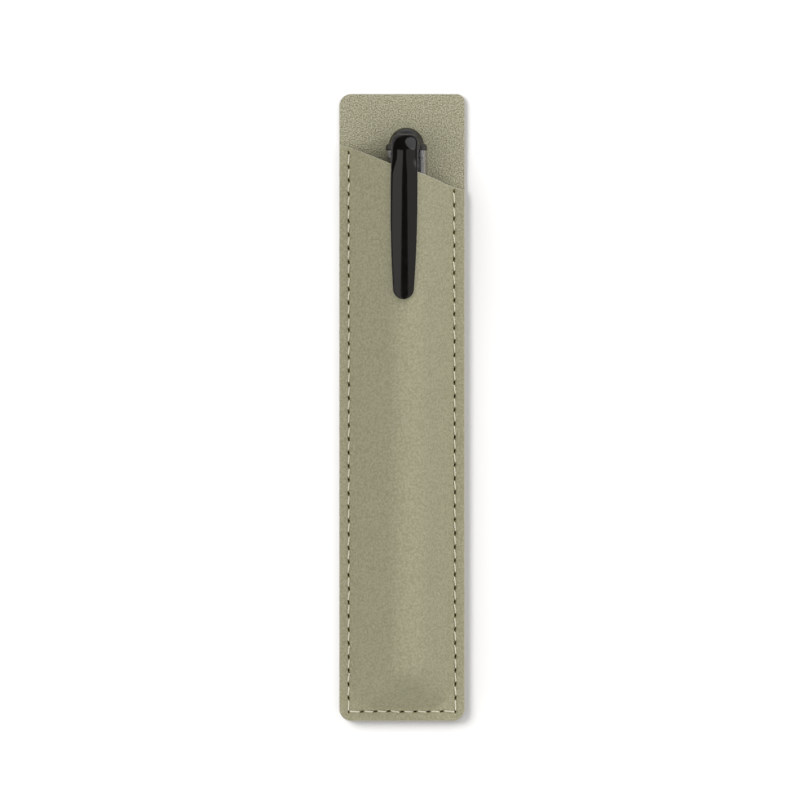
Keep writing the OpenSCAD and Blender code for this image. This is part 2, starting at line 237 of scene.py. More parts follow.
def seam_dip(plan, depth, puff):
    """How deep the stitches draw a layer down along the seam, with a low puff on either side."""
    dip = np.zeros(len(plan))
    for run in RUNS:
        along, aside = run.places(plan)
        begun = smooth((along + RUN_FADE) / RUN_FADE)
        inside = begun * smooth((run.length + RUN_FADE - along) / RUN_FADE)
        beat = np.cos(2 * math.pi * along / run.pitch)
        pull = depth * (DIP_STEADY + DIP_BEAT * beat) * np.exp(-((aside / DIP_WIDTH) ** 2))
        beside = (np.abs(aside) - PUFF_PLACE) / PUFF_WIDTH
        swell = puff * (1 - PUFF_BEAT * beat) * np.exp(-(beside**2))
        dip = np.maximum(dip, inside * (pull - swell))
    return dip


# The front, formed over the pen

def flank(distance, run, out):
    """Height at a distance from the pen: a round crest, a straight fall and a foot up to run."""
    drop = floor_z + FOOT_R - pen_z
    a = np.arcsin((crest_r + FOOT_R) / np.hypot(run, drop)) - np.arctan2(drop, run)
    crest, foot = crest_r + out, FOOT_R - out
    round_top = pen_z + np.sqrt(np.maximum(crest**2 - distance**2, 0))
    straight = pen_z + crest * np.cos(a) - (distance - crest * np.sin(a)) * np.tan(a)
    round_foot = floor_z + FOOT_R - np.sqrt(np.maximum(foot**2 - (run - distance) ** 2, 0))
    height = np.where(distance < crest * np.sin(a), round_top, straight)
    height = np.where(distance > run - foot * np.sin(a), round_foot, height)
    return np.where(distance > run, floor_z + out, height)


def ripple(plan, distance, run):
    """The slight unevenness of the leather where it spans from the pen to the seam."""
    x, y = plan[:, 0], plan[:, 1]
    wave = (np.sin(0.19 * y + 0.5 * np.sin(0.35 * x) + 0.6)
            + 0.6 * np.sin(0.43 * y - 0.3 * x + 2.1)
            + 0.4 * np.sin(0.77 * y + 0.55 * x + 4.0))
    free = smooth((distance - RIPPLE_START) / RIPPLE_FADE) * smooth((run - distance) / RIPPLE_FADE)
    return RIPPLE_H * wave * free


def skin(plan, out):
    """Height of the front over plan points, moved out from the underside of its lining."""
    across, along = plan[:, 0] - pen_x, plan[:, 1] - tail_y
    side = seam_x - FOOT_GAP - pen_x * np.sign(across)
    end = tail_y - seam_y - FOOT_GAP
    beyond = along < 0
    distance = np.where(beyond, np.hypot(across, along), np.abs(across))
    unit = np.maximum(distance, 1e-6)
    power = CORNER_SQUARENESS
    shares = (np.abs(across) / unit / side) ** power + (np.abs(along) / unit / end) ** power
    run = np.where(beyond, shares ** (-1 / power), side)
    return flank(distance, run, out) + ripple(plan, distance, run)


# Outlines in plan

CORNER_POINTS = 11

# How far on either side of the seam a layer's points lie closer together
FINE_REACH = 1.3


def sleeve_outline():
    """The die-cut outline of the whole sleeve, counter-clockwise from its bottom left corner."""
    points = []
    for sx, sy, r, start in [(-1, -1, CORNER_R, 180), (1, -1, CORNER_R, 270),
                             (1, 1, TIGHT_CORNER_R, 0), (-1, 1, CORNER_R, 90)]:
        for a in np.radians(np.linspace(start, start + 90, CORNER_POINTS)):
            points.append((sx * (half_w - r) + r * math.cos(a),
                           sy * (half_l - r) + r * math.sin(a)))
    return np.array(points)


def cut_at_mouth(points):
    """What of an outline lies below the slanted mouth."""
    over = points[:, 1] - mouth_at(points[:, 0])
    kept = []
    for here, there, a, b in zip(points, np.roll(points, -1, 0), over, np.roll(over, -1)):
        if a <= 0:
            kept.append(here)
        if a * b < 0:
            kept.append(here + (there - here) * a / (a - b))
    return np.array(kept)


def divided(points, step):
    """A closed outline with its long sides cut up, so that none is longer than step."""
    cut = []
    for here, there in zip(points, np.roll(points, -1, 0)):
        count = max(1, math.ceil(np.linalg.norm(there - here) / step))
        cut += [here + (there - here) * k / count for k in range(count)]
    return np.array(cut)


def side_normals(points):
    """Outward normals of the sides of a counter-clockwise outline."""
    edge = np.roll(points, -1, 0) - points
    return np.stack([edge[:, 1], -edge[:, 0]], 1) / np.linalg.norm(edge, axis=1)[:, None]


def outward(points):
    """At each point of an outline, the move that shifts both its sides out by 1."""
    normal = side_normals(points)
    before = np.roll(normal, 1, 0)
    return (normal + before) / (1 + (normal * before).sum(1))[:, None]


def depth_inside(points, outline):
    """How far plan points lie inside a convex outline."""
    normal = side_normals(outline)
    return -np.max(points @ normal.T - (outline * normal).sum(1), axis=1)


def staggered(outline, spacing):
    """A staggered grid of plan points over an outline's box."""
    low, high = outline.min(0), outline.max(0)
    rows = np.arange(low[1], high[1], spacing * math.sqrt(3) / 2)
    x, y = np.meshgrid(np.arange(low[0], high[0], spacing), rows)
    x = x + (np.arange(len(rows)) % 2)[:, None] * spacing / 2
    return np.stack([x.ravel(), y.ravel()], 1)


def scatter(outline, holes, margin, spacing, fine):
    """Plan points inside an outline, closer together along the seam and none near a needle hole."""
    coarse, close = staggered(outline, spacing), staggered(outline, fine)
    points = np.concatenate([coarse[seam_distance(coarse) > FINE_REACH + spacing / 2],
                             close[seam_distance(close) <= FINE_REACH]])
    points = points[depth_inside(points, outline) > margin + fine / 2]
    for hole in holes:
        points = points[hole.distance(points) > margin + fine / 2]
    return points


SLEEVE = sleeve_outline()
POCKET = cut_at_mouth(SLEEVE)


# Meshes

RIM_STEP = 0.5
OUTER_RINGS, INNER_RINGS = 5, 3

# Rings of a needle hole's lip: the share of the lip each grows and sinks by, and how much of the
# tint painted into the holes' shade it takes
LIP_RINGS = [(1, 0, 0.0), (0.35, 0.4, 0.4), (0, 1.3, 0.9)]


def as_object(data, sharp_degrees=40):
    """Links a mesh as an object, smooth except where it turns sharply."""
    data.validate()
    data.shade_smooth()
    data.set_sharp_from_angle(angle=math.radians(sharp_degrees))
    made = bpy.data.objects.new(data.name, data)
    bpy.context.scene.collection.objects.link(made)
    return made


class Builder:
    """Gathers the points and faces of one mesh, and the marks that its material reads."""

    def __init__(self):
        self.points, self.cut, self.pit, self.faces, self.total = [], [], [], [], 0

    def add(self, plan, height, cut=0.0, pit=0.0):
        """Adds points and gives their numbers."""
        count = len(plan)
        self.points.append(np.column_stack([plan, np.broadcast_to(height, count)]))
        self.cut.append(np.full(count, cut))
        self.pit.append(np.full(count, pit))
        self.total += count
        return np.arange(self.total - count, self.total)

    def band(self, one, two, flip):
        """Quads between two closed rings of equal count."""
        for a, b, c, d in zip(one, np.roll(one, -1), np.roll(two, -1), two):
            self.faces.append((a, b, c, d) if flip else (d, c, b, a))

    def fill(self, rim, holes, spread, flip):
        """Triangles over the points spread inside a rim, with the hole loops left open."""
        numbers = np.concatenate([rim, *holes, spread])
        plan = np.concatenate(self.points)[numbers][:, :2]
        edges, hole_of, start = [], np.zeros(len(numbers), int), 0
        for place, loop in enumerate([rim, *holes]):
            edges += [(start + k, start + (k + 1) % len(loop)) for k in range(len(loop))]
            hole_of[start:start + len(loop)] = place
            start += len(loop)
        inside_only, weld = 1, 1e-6
        points = [Vector(p) for p in plan]
        _, _, found, origin, _, _ = delaunay_2d_cdt(points, edges, [], inside_only, weld)
        triangles = np.array([o[0] for o in origin])[np.array(found)]
        at = hole_of[triangles]
        in_hole = (at[:, 0] > 0) & (at[:, 0] == at[:, 1]) & (at[:, 1] == at[:, 2])
        chosen = numbers[triangles[~in_hole]]
        self.faces += [tuple(t[::-1]) if flip else tuple(t) for t in chosen]

    def mesh(self, name):
        """The finished mesh object, in metres."""
        data = bpy.data.meshes.new(name)
        faces = [tuple(int(i) for i in f) for f in self.faces]
        data.from_pydata((np.concatenate(self.points) * MM).tolist(), [], faces)
        # The cut mark is the pale cut edge; the other mark shows where a tint is painted into the
        # shade inside the needle holes.
        for label, values in (("cut", self.cut), ("pit", self.pit)):
            mark = data.attributes.new(label, "FLOAT", "POINT")
            mark.data.foreach_set("value", np.concatenate(values).astype(np.float32))
        return as_object(data)


def layer(name, outline, outer, inner, facing, holes, edge_r, lip, spacing, fine, pull=None):
    """A cut layer between two surfaces, with rounded edges and needle holes.

    outer and inner give heights over plan points, and facing is 1 with the outer one on top, or -1.
    pull gives how far the finished points are drawn along the sleeve.
    """
    b = Builder()
    down = facing < 0
    rim = divided(outline, RIM_STEP)
    ways = outward(rim)
    rings = []
    for a in np.radians(np.linspace(0, 90, OUTER_RINGS)):
        plan = rim - ways * edge_r * (1 - math.sin(a))
        height = outer(plan) - facing * edge_r * (1 - math.cos(a))
        rings.append(b.add(plan, height, cut=math.sin(a)))
    inner_r = edge_r / 2
    for a in np.radians(np.linspace(90, 0, INNER_RINGS)):
        plan = rim - ways * inner_r * (1 - math.sin(a))
        rings.append(b.add(plan, inner(plan) + facing * inner_r * (1 - math.cos(a)), cut=1.0))
    for one, two in zip(rings, rings[1:]):
        b.band(one, two, down)

    top_loops, bottom_loops = [], []
    for hole in holes:
        loops = []
        for grow, sink, pit in LIP_RINGS:
            plan = hole.ring(grow * lip)
            loops.append(b.add(plan, outer(plan) - facing * (sink * lip), pit=pit))
        loops.append(b.add(plan, inner(plan), pit=1.0))
        for one, two in zip(loops, loops[1:]):
            b.band(one, two, not down)
        top_loops.append(loops[0])
        bottom_loops.append(loops[-1])

    spread = scatter(outline, holes, edge_r + lip, spacing, fine)
    b.fill(rings[0], top_loops, b.add(spread, outer(spread)), down)
    sparse = scatter(outline, holes, edge_r, 2 * spacing, 2 * spacing)
    b.fill(rings[-1], bottom_loops, b.add(sparse, inner(sparse)), not down)
    if pull:
        for points in b.points:
            points[:, 1] += pull(points[:, :2])
    return b.mesh(name)


def at_height(z):
    """A flat surface, as layer() takes one."""
    return lambda plan: np.full(len(plan), z)


def gone_across(x):
    """Length across the formed front, from its left edge to each place, halfway down the pocket."""
    heights = skin(np.column_stack([x, np.zeros(len(x))]), lining_t / 2)
    return np.concatenate([[0], np.cumsum(np.hypot(np.diff(x), np.diff(heights)))])


ACROSS = np.linspace(-half_w, half_w, 400)
GONE = gone_across(ACROSS)

# How far the mouth's edge sinks back over the pen and how wide it does, the share of that on the
# left with its reach, and how far down the pocket all this is felt
MOUTH_SLACK, SLACK_REACH = 0.55, 7
LEFT_SHARE, LEFT_REACH = 0.55, 12
PULL_REACH = 25


def mouth_pull(plan):
    """How far the pen's bump draws the front along the sleeve.

    The mouth was cut straight before the front was formed, so its edge comes out of line.
    """
    x, y = plan[:, 0], plan[:, 1]
    ahead = np.interp(x, ACROSS, GONE / GONE[-1] - (ACROSS + half_w) / (2 * half_w))
    over_pen = np.exp(-(((x - pen_x) / SLACK_REACH) ** 2))
    slack = MOUTH_SLACK * (over_pen + LEFT_SHARE * smooth((pen_x - x) / LEFT_REACH))
    felt = smooth((y - mouth_at(x) + PULL_REACH) / PULL_REACH)
    return (-2 * half_w * mouth_slope * ahead - slack) * felt


def front_panel():
    """The leather front, formed over the pen and drawn down along the seam."""
    return layer(
        "front_leather", POCKET,
        outer=lambda p: skin(p, lining_t + leather_t) - seam_dip(p, depth=0.11, puff=0.035),
        inner=lambda p: skin(p, lining_t),
        facing=1, holes=HOLES, edge_r=EDGE_R, lip=0.13, spacing=0.6, fine=0.24, pull=mouth_pull)


def front_lining():
    """The lining cloth under the front."""
    return layer(
        "front_lining_cloth", POCKET,
        outer=lambda p: skin(p, lining_t), inner=lambda p: skin(p, 0),
        facing=1, holes=ROUND_HOLES, edge_r=0.1, lip=0.03, spacing=1.0, fine=0.7,
        pull=mouth_pull)


def back_lining():
    """The lining cloth on the back, which shows on the flap."""
    return layer(
        "back_lining_cloth", SLEEVE,
        outer=at_height(floor_z), inner=at_height(leather_t),
        facing=1, holes=ROUND_HOLES, edge_r=0.12, lip=0.03, spacing=1.0, fine=0.7)


# The groove under the back: depth, width, how far its wall leans in and how wide it is, and how far
# the groove goes past the last hole
GROOVE_DEPTH, GROOVE_W = 0.32, 0.6
WALL_IN, WALL_W = 0.12, 0.3
GROOVE_PAST = 0.1


def back_groove(plan):
    """Height of the back's underside: flat, with the groove that its thread is pulled into."""
    groove = np.zeros(len(plan))
    for run in RUNS:
        along, aside = run.places(plan)
        over = np.maximum(np.maximum(-along, along - run.length) - GROOVE_PAST, 0)
        out = (np.hypot(over, aside) - GROOVE_W / 2 + WALL_IN) / WALL_W
        groove = np.maximum(groove, GROOVE_DEPTH * (1 - smooth(out)))
    return groove


def back_panel():
    """The leather back, with its groove along the seam."""
    return layer(
        "back_leather", SLEEVE,
        outer=back_groove, inner=at_height(leather_t),
        facing=-1, holes=HOLES, edge_r=EDGE_R, lip=0.1, spacing=1.0, fine=0.2)


# Thread

THREAD_R = 0.2
THREAD_RISE = 0.055
BOBBIN_RISE = THREAD_RISE - 0.03
THREAD_LAY = 1.7
PLIES = 3
PLY_DEPTH = 0.13
LOCK_DEPTH = 1.05
BEND_DEPTH = 0.6
STITCH_BEND = 0.26
STITCH_ARCH = 0.03


def stitch_line(run, i, rise):
    """Centreline of one stitch, from one hole into the next, as places along, aside and up."""
    into_corner = run is end_run and i + 1 == run.count
    next_hole = CORNER_HOLE if into_corner else run.hole_length(i + 1)
    start = i * run.pitch + run.hole_length(i) / 2 - THREAD_R
    stop = (i + 1) * run.pitch - next_hole / 2 + THREAD_R
    bend = np.radians(np.linspace(0, 90, 6))
    bent = zip(start + STITCH_BEND * (1 - np.cos(bend)), rise - STITCH_BEND * (1 - np.sin(bend)))
    up = [(start, -LOCK_DEPTH), (start, -BEND_DEPTH), *bent]
    down = [(stop + start - s, z) for s, z in reversed(up)]
    across = np.linspace(start + STITCH_BEND, stop - STITCH_BEND, 12)[1:-1]
    share = (across - across[0]) / (across[-1] - across[0])
    over = list(zip(across, rise + STITCH_ARCH * np.sin(math.pi * share)))
    line = np.array([*up, *over, *down])
    share = (line[:, 0] - start) / (stop - start)
    lean = math.tan(run.slant) * run.hole_length(i) / 2
    aside = run.wander[i] * (1 - share) + run.wander[i + 1] * share + lean * (1 - 2 * share)
    return np.column_stack([line[:, 0], aside, line[:, 1]])


def thread(name, base, facing, rise, pull=None):
    """All the stitches of one thread, each a closed twisted tube, on a surface at height base."""
    sides = 12
    turn = np.arange(sides) * 2 * math.pi / sides
    points, faces, total = [], [], 0
    for run in RUNS:
        for i in range(run.count):
            local = stitch_line(run, i, rise)
            plan = run.at(0) + np.outer(local[:, 0], run.way) + np.outer(local[:, 1], run.side)
            line = np.column_stack([plan, base + facing * local[:, 2]])
            if pull:
                line[:, 1] += pull(plan)
            ahead = np.gradient(line, axis=0)
            ahead /= np.linalg.norm(ahead, axis=1)[:, None]
            out = np.cross(ahead, np.append(run.side, 0))
            out /= np.linalg.norm(out, axis=1)[:, None]
            aside = np.cross(out, ahead)
            gone = np.concatenate([[0], np.cumsum(np.linalg.norm(np.diff(line, axis=0), axis=1))])
            twist = 2 * math.pi * gone / THREAD_LAY + i
            plies = PLY_DEPTH * np.cos(PLIES * (turn[None] - twist[:, None]))
            radius = THREAD_R * (1 - PLY_DEPTH + plies)
            spoke = (np.cos(turn)[None, :, None] * out[:, None]
                     + np.sin(turn)[None, :, None] * aside[:, None])
            ring = line[:, None] + radius[..., None] * spoke
            count = len(line)
            points.append(ring.reshape(-1, 3))
            for k in range(count - 1):
                for a in range(sides):
                    b = (a + 1) % sides
                    low, high = total + k * sides, total + (k + 1) * sides
                    faces.append((low + a, low + b, high + b, high + a))
            faces.append(tuple(total + a for a in reversed(range(sides))))
            faces.append(tuple(total + (count - 1) * sides + a for a in range(sides)))
            total += count * sides
    data = bpy.data.meshes.new(name)
    data.from_pydata((np.concatenate(points) * MM).tolist(), [], faces)
    return as_object(data, 60)


# The cap's plug and clip, one moulding worked out as a distance field in the pen's own frame

PEN_ROLL = -3.9
DOME_R = 4.53
DOME_H = 4.1
SHOULDER_R = 0.9
STEM_R = 3.85
STEM_END = -15.3
BEAD_R = 4.58
SOCKET_R = 1.8
SOCKET_TOP = -12.3
CLIP_W = 6.92
CLIP_TAPER = 1.56
CLIP_ROOT = -1.9
TAPER_START = 17.4
CLIP_TOP = 8.8
CLIP_INNER = 7.3
CLIP_NUB = 0.3
ROOT_R = 2.0
TIP_DROP = 0.5
TIP_FURTHER = 0.2
HOOD_ROOT = 2
CLIP_LEAN = 0.22

# Edges and fillets of the dome and the stem, and the two beads on it
SMALL_R = 0.2
STEM_EDGE_R = 0.25
DOME_FILLET, STEM_FILLET, BEAD_FILLET = 0.3, 0.1, 0.15
BEAD_W = 0.5
BEAD_BELOW_TUBE_TOP, BEAD_ABOVE_STEM_END = 2.2, 1.8

# Edges and fillets of the clip: the hood's edges are sharper than the arm's, the arm's underside
# meets the hood in a wide fillet, and the hood meets the dome in one that grows towards its root
CLIP_EDGE_R = 0.45
HOOD_SHARPER, SHARPER_FROM, SHARPER_EASE = 0.2, -6, 3
UNDER_FILLET, UNDER_EDGE_R = 2.0, 0.25
HOOD_FILLET, FILLET_MORE, MORE_FROM, MORE_EASE = 0.3, 0.1, -7, 2

# The arched section of the clip's top: its radius at the hood, how much that grows along the arm
# and towards the tip, with where it begins and over what length, and the share of the radius past
# which its sides fall straight, with their slope
CROWN_R = 4.6
ARM_MORE, ARM_FROM, ARM_EASE = 2.4, -7.2, 5
TIP_MORE, TIP_FROM, TIP_EASE = 3.8, -9, 34
SIDE_SHARE, SIDE_SLOPE = 0.88, 1.85

# Where the nub under the tip ends, and where the hood's cheeks begin, with how deep they reach
NUB_END, NUB_EASE = 5.4, 2
HOOD_CHEEK, CHEEK_START, CHEEK_EASE = 1.6, -11, 3.6

# How steeply the clip's top rises, in degrees, at places down from its root
HOOD_RISE = np.array([(0, 43.5), (0.5, 42.5), (3.2, 17), (4.2, 8),
                      (5.5, 5), (9, 4), (12, 0.5), (13, 0)])

tube_top = tube_top_y - pen_top_y
clip_tip = clip_tip_y - pen_top_y - TIP_FURTHER
clip_len = CLIP_ROOT - clip_tip


def joined(a, b, r):
    """Union of two fields, with a fillet."""
    h = np.clip(0.5 + 0.5 * (b - a) / r, 0, 1)
    return b + (a - b) * h - r * h * (1 - h)


def common(a, b, r):
    """What two fields share, with a rounded edge."""
    return -joined(-a, -b, r)


def turned(r, y, radius, low, high, edge):
    """Field of a turned disc between two places along the pen, with rounded edges."""
    out = r - (radius - edge)
    beyond = np.abs(y - (low + high) / 2) - ((high - low) / 2 - edge)
    outside = np.hypot(np.maximum(out, 0), np.maximum(beyond, 0))
    return outside + np.minimum(np.maximum(out, beyond), 0) - edge


def crown(x, y):
    """How far the clip's top falls away from its middle: domed at the hood, flatter at the tip."""
    arm, tip = smooth((ARM_FROM - y) / ARM_EASE), np.clip((TIP_FROM - y) / TIP_EASE, 0, 1)
    radius = CROWN_R + ARM_MORE * arm + TIP_MORE * tip
    near = np.minimum(np.abs(x), SIDE_SHARE * radius)
    return radius - np.sqrt(radius**2 - near**2) + SIDE_SLOPE * (np.abs(x) - near)


def hood_fall(down):
    """How far the clip's top still has to rise at a distance from its root, and how steeply."""
    place = np.linspace(-4, 13, 341)
    steep = np.tan(np.radians(np.interp(place, *HOOD_RISE.T)))
    fall = np.cumsum(steep[::-1])[::-1] * (place[1] - place[0])
    return np.interp(down, place, fall), np.interp(down, place, steep)


def plug_field(x, y, z):
    """The dome, its rounded shoulder, and the stem with two beads and the socket for the point."""
    r = np.hypot(x, z)
    middle = tube_top + SHOULDER_R
    dome = np.maximum(np.hypot(r, y + DOME_R) - DOME_R, middle - y)
    shoulder = np.maximum(turned(r, y, cap_r, tube_top - 2, -DOME_H, SHOULDER_R),
                          turned(r, y, cap_r, tube_top, 0, SMALL_R))
    stem = turned(r, y, STEM_R, STEM_END, middle, STEM_EDGE_R)
    for place in (tube_top - BEAD_BELOW_TUBE_TOP, STEM_END + BEAD_ABOVE_STEM_END):
        stem = joined(stem, turned(r, y, BEAD_R, place, place + BEAD_W, SMALL_R), BEAD_FILLET)
    body = joined(joined(dome, shoulder, DOME_FILLET), stem, STEM_FILLET)
    socket = turned(r, y, SOCKET_R, STEM_END - 5, SOCKET_TOP, SMALL_R)
    return common(body, -socket, BEAD_FILLET)


def clip_field(x, y, z):
    """The hood over the dome's side, the crowned arm, and the round tip with the nub under it."""
    tip_r = (CLIP_W - CLIP_TAPER) / 2
    taper = np.clip((CLIP_ROOT - TAPER_START - y) / (clip_len - TAPER_START - tip_r), 0, 1)
    half = CLIP_W / 2 - CLIP_TAPER / 2 * taper**2
    tip_centre = clip_tip + tip_r
    x = x + CLIP_LEAN * np.clip((CLIP_ROOT - y) / clip_len, 0, 1)
    root_centre = CLIP_ROOT - ROOT_R
    round_root = np.hypot(np.maximum(np.abs(x) - half + ROOT_R, 0), y - root_centre) - ROOT_R
    plan = np.where(y > tip_centre, np.abs(x) - half, np.hypot(x, y - tip_centre) - tip_r)
    plan = np.where(y > root_centre, round_root, plan)
    lift = z + crown(x, y)
    arm = CLIP_TOP - TIP_DROP * (CLIP_ROOT - y) / clip_len
    fall, steep = hood_fall(CLIP_ROOT - y)
    top = (lift - arm + fall) / np.hypot(1, steep)
    nub = CLIP_NUB * smooth((clip_tip + NUB_END - y) / NUB_EASE)
    inner = CLIP_INNER - nub - HOOD_CHEEK * smooth((y - CHEEK_START) / CHEEK_EASE)
    under = joined(inner - z, tube_top - y, UNDER_FILLET)
    edge_r = CLIP_EDGE_R - HOOD_SHARPER * smooth((y - SHARPER_FROM) / SHARPER_EASE)
    solid = common(common(plan, top, edge_r), under, UNDER_EDGE_R)
    return np.maximum(solid, HOOD_ROOT - z)


def cap_field(points):
    """The whole moulding."""
    x, y, z = points[..., 0], points[..., 1], points[..., 2]
    fillet = HOOD_FILLET + FILLET_MORE * smooth((y - MORE_FROM) / MORE_EASE)
    return joined(plug_field(x, y, z), clip_field(x, y, z), fillet)


def slope(field, points):
    """Gradient of a field."""
    h = 0.01
    axes = np.eye(3) * h
    return np.stack([(field(points + a) - field(points - a)) / (2 * h) for a in axes], -1)


def settle(field, points, cell, rounds=5):
    """Points moved onto the field's surface."""
    for _ in range(rounds):
        g = slope(field, points)
        move = field(points)[:, None] * g / np.maximum((g**2).sum(1), 0.05)[:, None]
        length = np.linalg.norm(move, axis=1)[:, None]
        points = points - move * np.minimum(1, 0.5 * cell / np.maximum(length, 1e-9))
    return points


def moulded(name, field, low, high, cell):
    """The surface where a field is zero, as a mesh of even quads in the pen's own frame."""
    axes = [np.arange(a, b + cell, cell) for a, b in zip(low, high)]
    grid = np.stack(np.meshgrid(*axes, indexing="ij"), -1)
    value = field(grid)
    inside = value < 0
    shape = tuple(n - 1 for n in inside.shape)
    total, crossings = np.zeros((*shape, 3)), np.zeros(shape)
    corner = slice(0, -1), slice(1, None)
    for axis in range(3):
        others = [a for a in range(3) if a != axis]
        for i in (0, 1):
            for j in (0, 1):
                near, far = [None] * 3, [None] * 3
                near[axis], far[axis] = corner
                near[others[0]] = far[others[0]] = corner[i]
                near[others[1]] = far[others[1]] = corner[j]
                near, far = tuple(near), tuple(far)
                crossed = inside[near] != inside[far]
                share = value[near] / np.where(crossed, value[near] - value[far], 1)
                at = grid[near] + share[..., None] * (grid[far] - grid[near])
                total += np.where(crossed[..., None], at, 0)
                crossings += crossed
    used = crossings > 0
    number = np.full(shape, -1)
    number[used] = np.arange(used.sum())
    points = total[used] / crossings[used][:, None]
    faces = []
    for axis in range(3):
        b, c = (axis + 1) % 3, (axis + 2) % 3
        near = [slice(1, -1)] * 3
        far = [slice(1, -1)] * 3
        near[axis], far[axis] = corner
        start, stop = inside[tuple(near)], inside[tuple(far)]
        index = np.argwhere(start != stop)
        index[:, [b, c]] += 1
        quad = []
        for db, dc in [(-1, -1), (0, -1), (0, 0), (-1, 0)]:
            at = index.copy()
            at[:, b] += db
            at[:, c] += dc
            quad.append(number[tuple(at.T)])
        quad = np.stack(quad, 1)
        leaving = start[start != stop]
        faces.append(np.where(leaving[:, None], quad, quad[:, ::-1]))
    faces = np.concatenate(faces)
    points = settle(field, points, cell)
    one = np.concatenate([faces[:, k] for k in range(4)])
    two = np.concatenate([faces[:, (k + 1) % 4] for k in range(4)])
    for _ in range(3):
        pull, count = np.zeros_like(points), np.zeros(len(points))
        np.add.at(pull, one, points[two])
        np.add.at(count, one, 1)
        points = settle(field, 0.5 * points + 0.5 * pull / count[:, None], cell, 3)
    data = bpy.data.meshes.new(name)
    data.from_pydata(in_pocket(points).tolist(), [], faces.tolist())
    return as_object(data, 180)


def in_pocket(points):
    """Points of the pen's own frame where the pen lies, in metres."""
    c, s = math.cos(math.radians(PEN_ROLL)), math.sin(math.radians(PEN_ROLL))
    x, y, z = points[:, 0], points[:, 1], points[:, 2]
    return np.stack([c * x + s * z + pen_x, y + pen_top_y, c * z - s * x + pen_z], 1) * MM


def cap_plug():
    """The black plug and clip of the cap."""
    low, high = (-5.7, clip_tip - 0.5, -5.7), (5.7, 0.4, 9.5)
    return moulded("cap_plug_and_clip", cap_field, low, high, cell=0.22)


# Materials

def srgb(red, green, blue):
    """A colour written as an image shows it, from 0 to 255, as a shader needs it."""
    def linear(v):
        v /= 255
        return v / 12.92 if v <= 0.04045 else ((v + 0.055) / 1.055) ** 2.4
    return (linear(red), linear(green), linear(blue), 1.0)


class Shader:
    """A node material with one Principled shader, and short ways to add what drives it.

    Levels are fixed values of the shader's own sockets, with _ for each space in a name.
    """

    def __init__(self, name, **levels):
        self.material = bpy.data.materials.new(name)
        self.material.use_nodes = True
        self.tree = self.material.node_tree
        self.surface = self.tree.nodes["Principled BSDF"]
        self.place = self.node("ShaderNodeTexCoord").outputs["Object"]
        for socket, level in levels.items():
            self.surface.inputs[socket.replace("_", " ")].default_value = level

    def node(self, kind, **settings):
        """A new node of a kind."""
        made = self.tree.nodes.new(kind)
        for key, value in settings.items():
            setattr(made, key, value)
        return made

    def wire(self, source, target):
        """Links an output to an input."""
        self.tree.links.new(source, target)

    def to(self, socket, source):
        """Links an output to the shader's own socket."""
        self.wire(source, self.surface.inputs[socket])

    def stretched(self, scale):
        """The object's coordinates with each axis scaled."""
        node = self.node("ShaderNodeMapping")
        node.inputs["Scale"].default_value = scale
        self.wire(self.place, node.inputs["Vector"])
        return node.outputs["Vector"]

    def noise(self, size, detail=3.0, rough=0.55, place=None):
        """Noise whose blotches are about size millimetres across."""
        node = self.node("ShaderNodeTexNoise")
        node.inputs["Scale"].default_value = 1 / (size * MM)
        node.inputs["Detail"].default_value = detail
        node.inputs["Roughness"].default_value = rough
        self.wire(place or self.place, node.inputs["Vector"])
        return node.outputs["Fac"]

    def cells(self, size):
        """Pebbles about size millimetres across."""
        node = self.node("ShaderNodeTexVoronoi", feature="SMOOTH_F1")
        node.inputs["Scale"].default_value = 1 / (size * MM)
        node.inputs["Smoothness"].default_value = 0.6
        self.wire(self.place, node.inputs["Vector"])
        return node.outputs["Distance"]

    def mark(self, name):
        """A mark stored on the mesh."""
        return self.node("ShaderNodeAttribute", attribute_name=name).outputs["Fac"]

    def feed(self, sockets, values):
        """Sets each socket to its value, or links it where the value is another node's output."""
        for socket, value in zip(sockets, values):
            if isinstance(value, bpy.types.NodeSocket):
                self.wire(value, socket)
            else:
                socket.default_value = value

    def math(self, operation, a, b):
        """A sum or product of two values, each a number or an output."""
        node = self.node("ShaderNodeMath", operation=operation)
        self.feed(node.inputs, (a, b))
        return node.outputs[0]

    def between(self, source, low, high, out_low, out_high):
        """A value moved from one range to another, and held inside it."""
        node = self.node("ShaderNodeMapRange")
        self.feed(node.inputs, (source, low, high, out_low, out_high))
        return node.outputs[0]

    def mix(self, share, one, two):
        """A colour between two, each a colour or an output."""
        node = self.node("ShaderNodeMix", data_type="RGBA")
        self.feed((node.inputs["Factor"], node.inputs[6], node.inputs[7]), (share, one, two))
        return node.outputs[2]

    def bump(self, height, depth, below=None):
        """Relief of a height from 0 to 1, depth millimetres deep."""
        node = self.node("ShaderNodeBump")
        node.inputs["Distance"].default_value = depth * MM
        self.wire(height, node.inputs["Height"])
        if below is not None:
            self.wire(below, node.inputs["Normal"])
        return node.outputs["Normal"]


